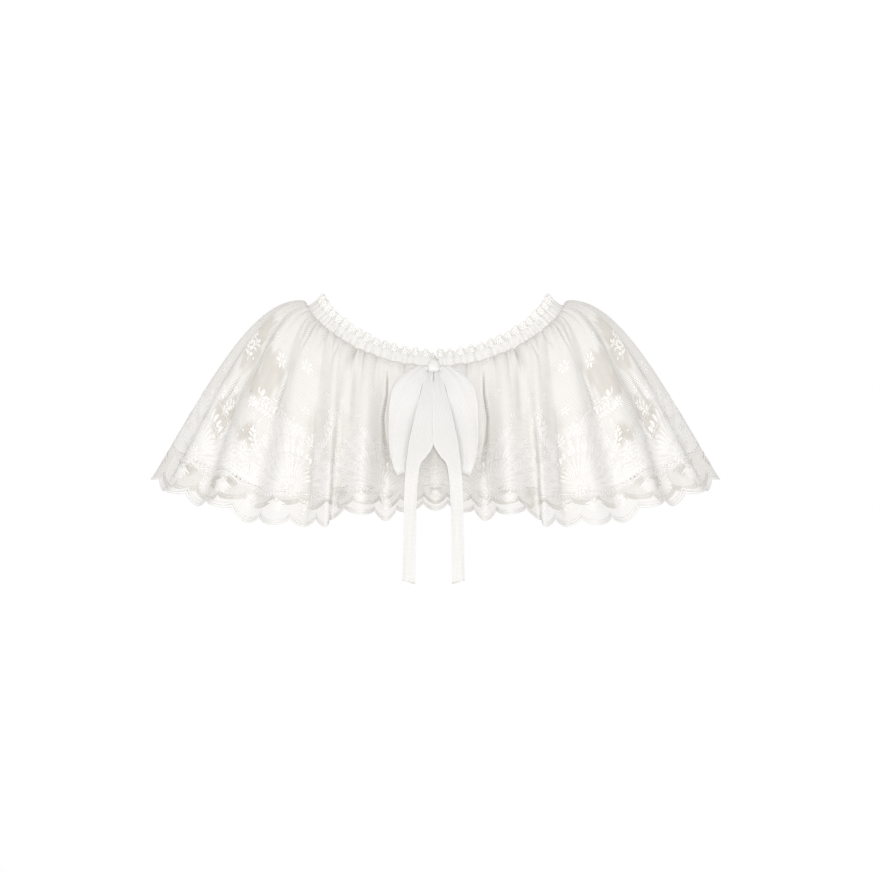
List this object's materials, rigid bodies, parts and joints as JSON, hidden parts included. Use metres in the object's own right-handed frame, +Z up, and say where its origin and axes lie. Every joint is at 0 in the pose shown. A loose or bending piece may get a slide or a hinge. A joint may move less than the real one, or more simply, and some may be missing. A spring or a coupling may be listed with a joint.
{
  "type": "lace collar",
  "caption": "Gathered floral lace capelet collar, worn form, with a drawstring neck casing, frilled heading, scalloped hem and a ribbon bow hanging at centre front.",
  "frame": {"origin": "middle of the neck opening at the height where the neck casing rests on the shoulders", "axes": "+Z up, the front and its bow face -Y, +X is the viewer's right seen from the front"},
  "size_m": [0.5696, 0.3373, 0.2847],
  "materials": {
    "lace_net": "matte ivory cotton embroidery on fine sheer net",
    "casing_net": "doubled ivory net, gathered",
    "organza_ribbon": "soft sheer ribbon with a faint sheen"
  },
  "bodies": {
    "root": {"cape_front": "lace_net", "cape_back": "lace_net", "neck_casing": "casing_net", "neck_frill": "lace_net", "bow_knot": "organza_ribbon", "bow_loop_left": "organza_ribbon", "bow_loop_right": "organza_ribbon", "bow_tail_left": "organza_ribbon", "bow_tail_right": "organza_ribbon"}
  },
  "joints": []
}
